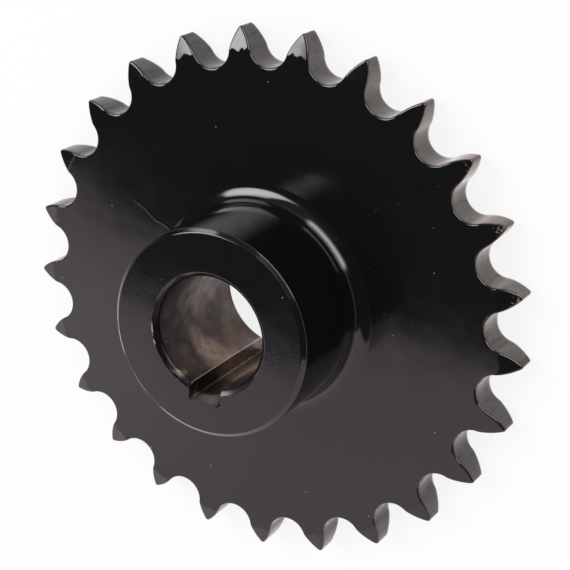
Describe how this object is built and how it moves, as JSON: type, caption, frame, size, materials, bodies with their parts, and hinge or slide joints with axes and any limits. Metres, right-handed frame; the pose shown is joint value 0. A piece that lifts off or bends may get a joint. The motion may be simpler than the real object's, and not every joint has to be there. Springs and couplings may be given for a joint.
{
  "type": "roller chain sprocket",
  "caption": "Black painted steel roller chain sprocket with a hub on one side, a plain bore and a keyway. It drives or follows a chain on a shaft.",
  "frame": {"origin": "centre of the bore in the flat back face that the part lies on", "axes": "+Z along the bore axis, from the back face towards the hub's face; the keyway is on the -Y side of the bore; +X makes the frame right-handed"},
  "size_m": [0.1338, 0.1339, 0.0361],
  "materials": {
    "painted_steel": "gloss"
  },
  "bodies": {
    "root": {"sprocket": "painted_steel"}
  },
  "joints": []
}
